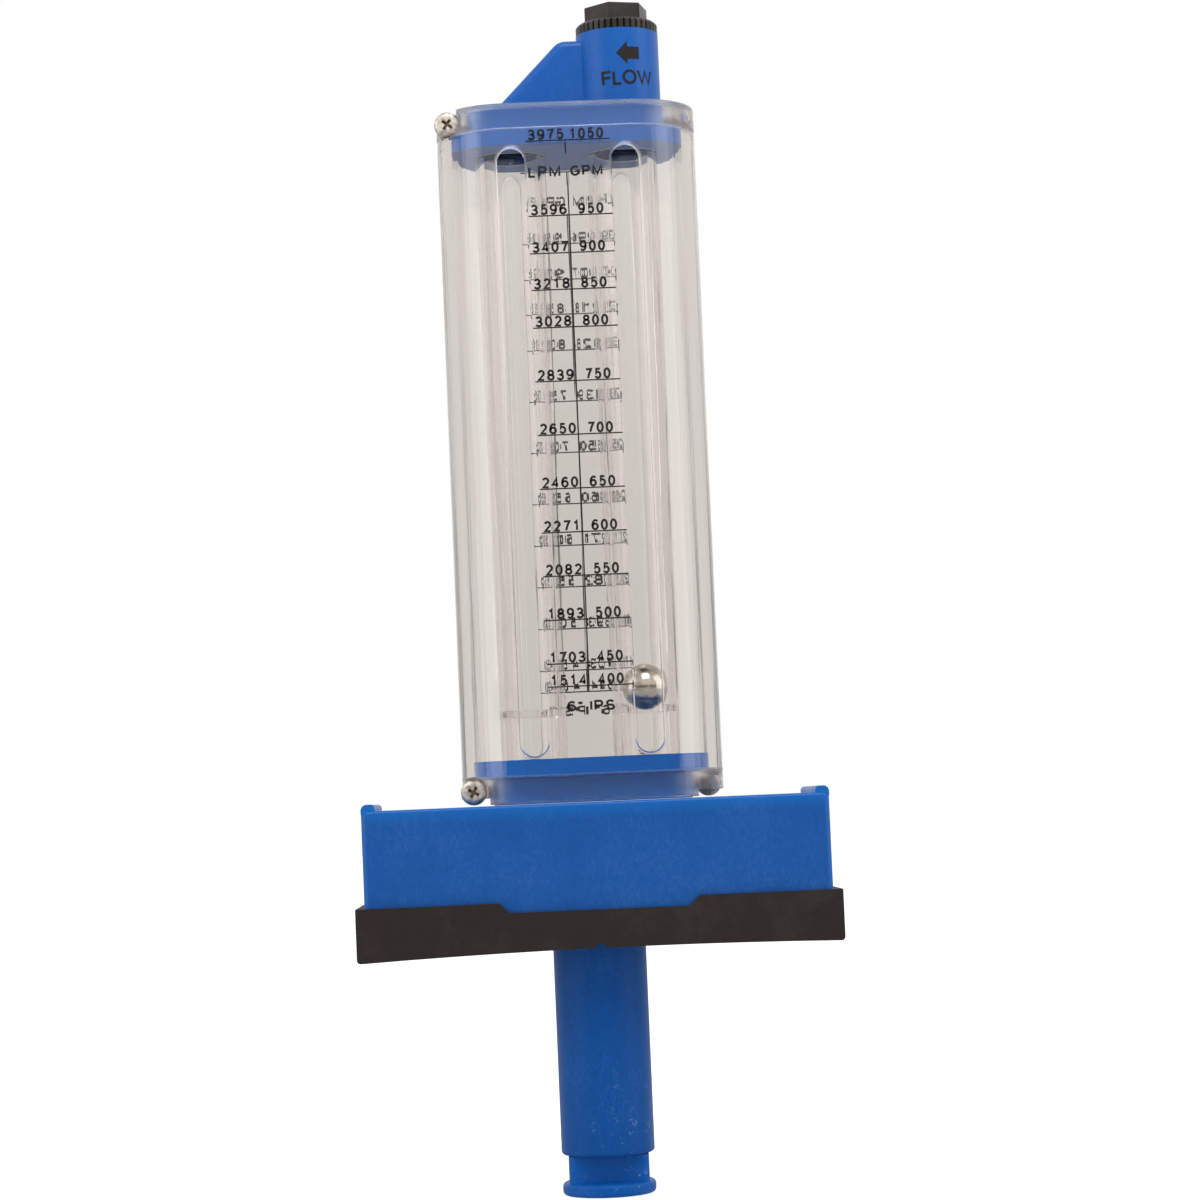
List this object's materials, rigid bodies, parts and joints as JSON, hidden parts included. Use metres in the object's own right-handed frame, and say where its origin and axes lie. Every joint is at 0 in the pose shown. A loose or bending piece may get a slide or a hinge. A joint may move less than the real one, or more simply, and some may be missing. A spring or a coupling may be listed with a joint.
{
  "type": "rotameter",
  "caption": "Pitot-type rotameter for a pipe: clear two-part body with a ball float and scale, on a blue saddle with gasket and a pitot tube that reaches into the pipe.",
  "frame": {"origin": "on the pitot tube's axis, at the crown of the pipe that the gasket seats on", "axes": "+Z out of the pipe along the meter, X along the pipe with the flow towards -X, the scale faces -Y"},
  "size_m": [0.1464, 0.0558, 0.3671],
  "materials": {
    "clear_plastic": "clear moulded plastic, glossy, faint vertical draw lines",
    "blue_plastic": "blue moulded polypropylene, waxy and slightly mottled",
    "black_rubber": "matt black rubber",
    "black_plastic": "black moulded plastic, slightly glossy",
    "polished_steel": "polished stainless steel ball",
    "screw_steel": "plain stainless steel"
  },
  "bodies": {
    "meter_body": {"front_shell": "clear_plastic", "back_shell": "clear_plastic", "metering_tube": "clear_plastic", "return_tube": "clear_plastic", "metering_tube_lower_ring": "black_rubber", "return_tube_lower_ring": "black_rubber", "metering_tube_upper_ring": "black_rubber", "return_tube_upper_ring": "black_rubber", "top_fitting": "blue_plastic", "saddle": "blue_plastic", "lower_fitting": "blue_plastic", "pitot_tube": "blue_plastic", "pitot_tip": "blue_plastic", "saddle_gasket": "black_rubber", "front_upper_screw": "screw_steel", "front_lower_screw": "screw_steel", "back_upper_screw": "screw_steel", "back_lower_screw": "screw_steel"},
    "float": {"float_ball": "polished_steel"},
    "plug_seal": {"plug_ring": "black_rubber"},
    "plug": {"hex_plug": "black_plastic"}
  },
  "joints": [
    {"name": "float_rise", "type": "slide", "parent": "meter_body", "child": "float", "axis": [0, 0, 1], "range_m": [0, 0.1664]},
    {"name": "plug_rise", "type": "slide", "parent": "meter_body", "child": "plug_seal", "axis": [0, 0, 1], "range_m": [0, 0.008]},
    {"name": "plug_turn", "type": "hinge", "parent": "plug_seal", "child": "plug", "pos_m": [0.01745, 0, 0.2787], "axis": [0, 0, 1], "range_deg": [0, 1440]}
  ],
  "couplings": [
    {"joint": "plug_rise", "follows": "plug_turn", "m_per_rad": 0.000318}
  ]
}
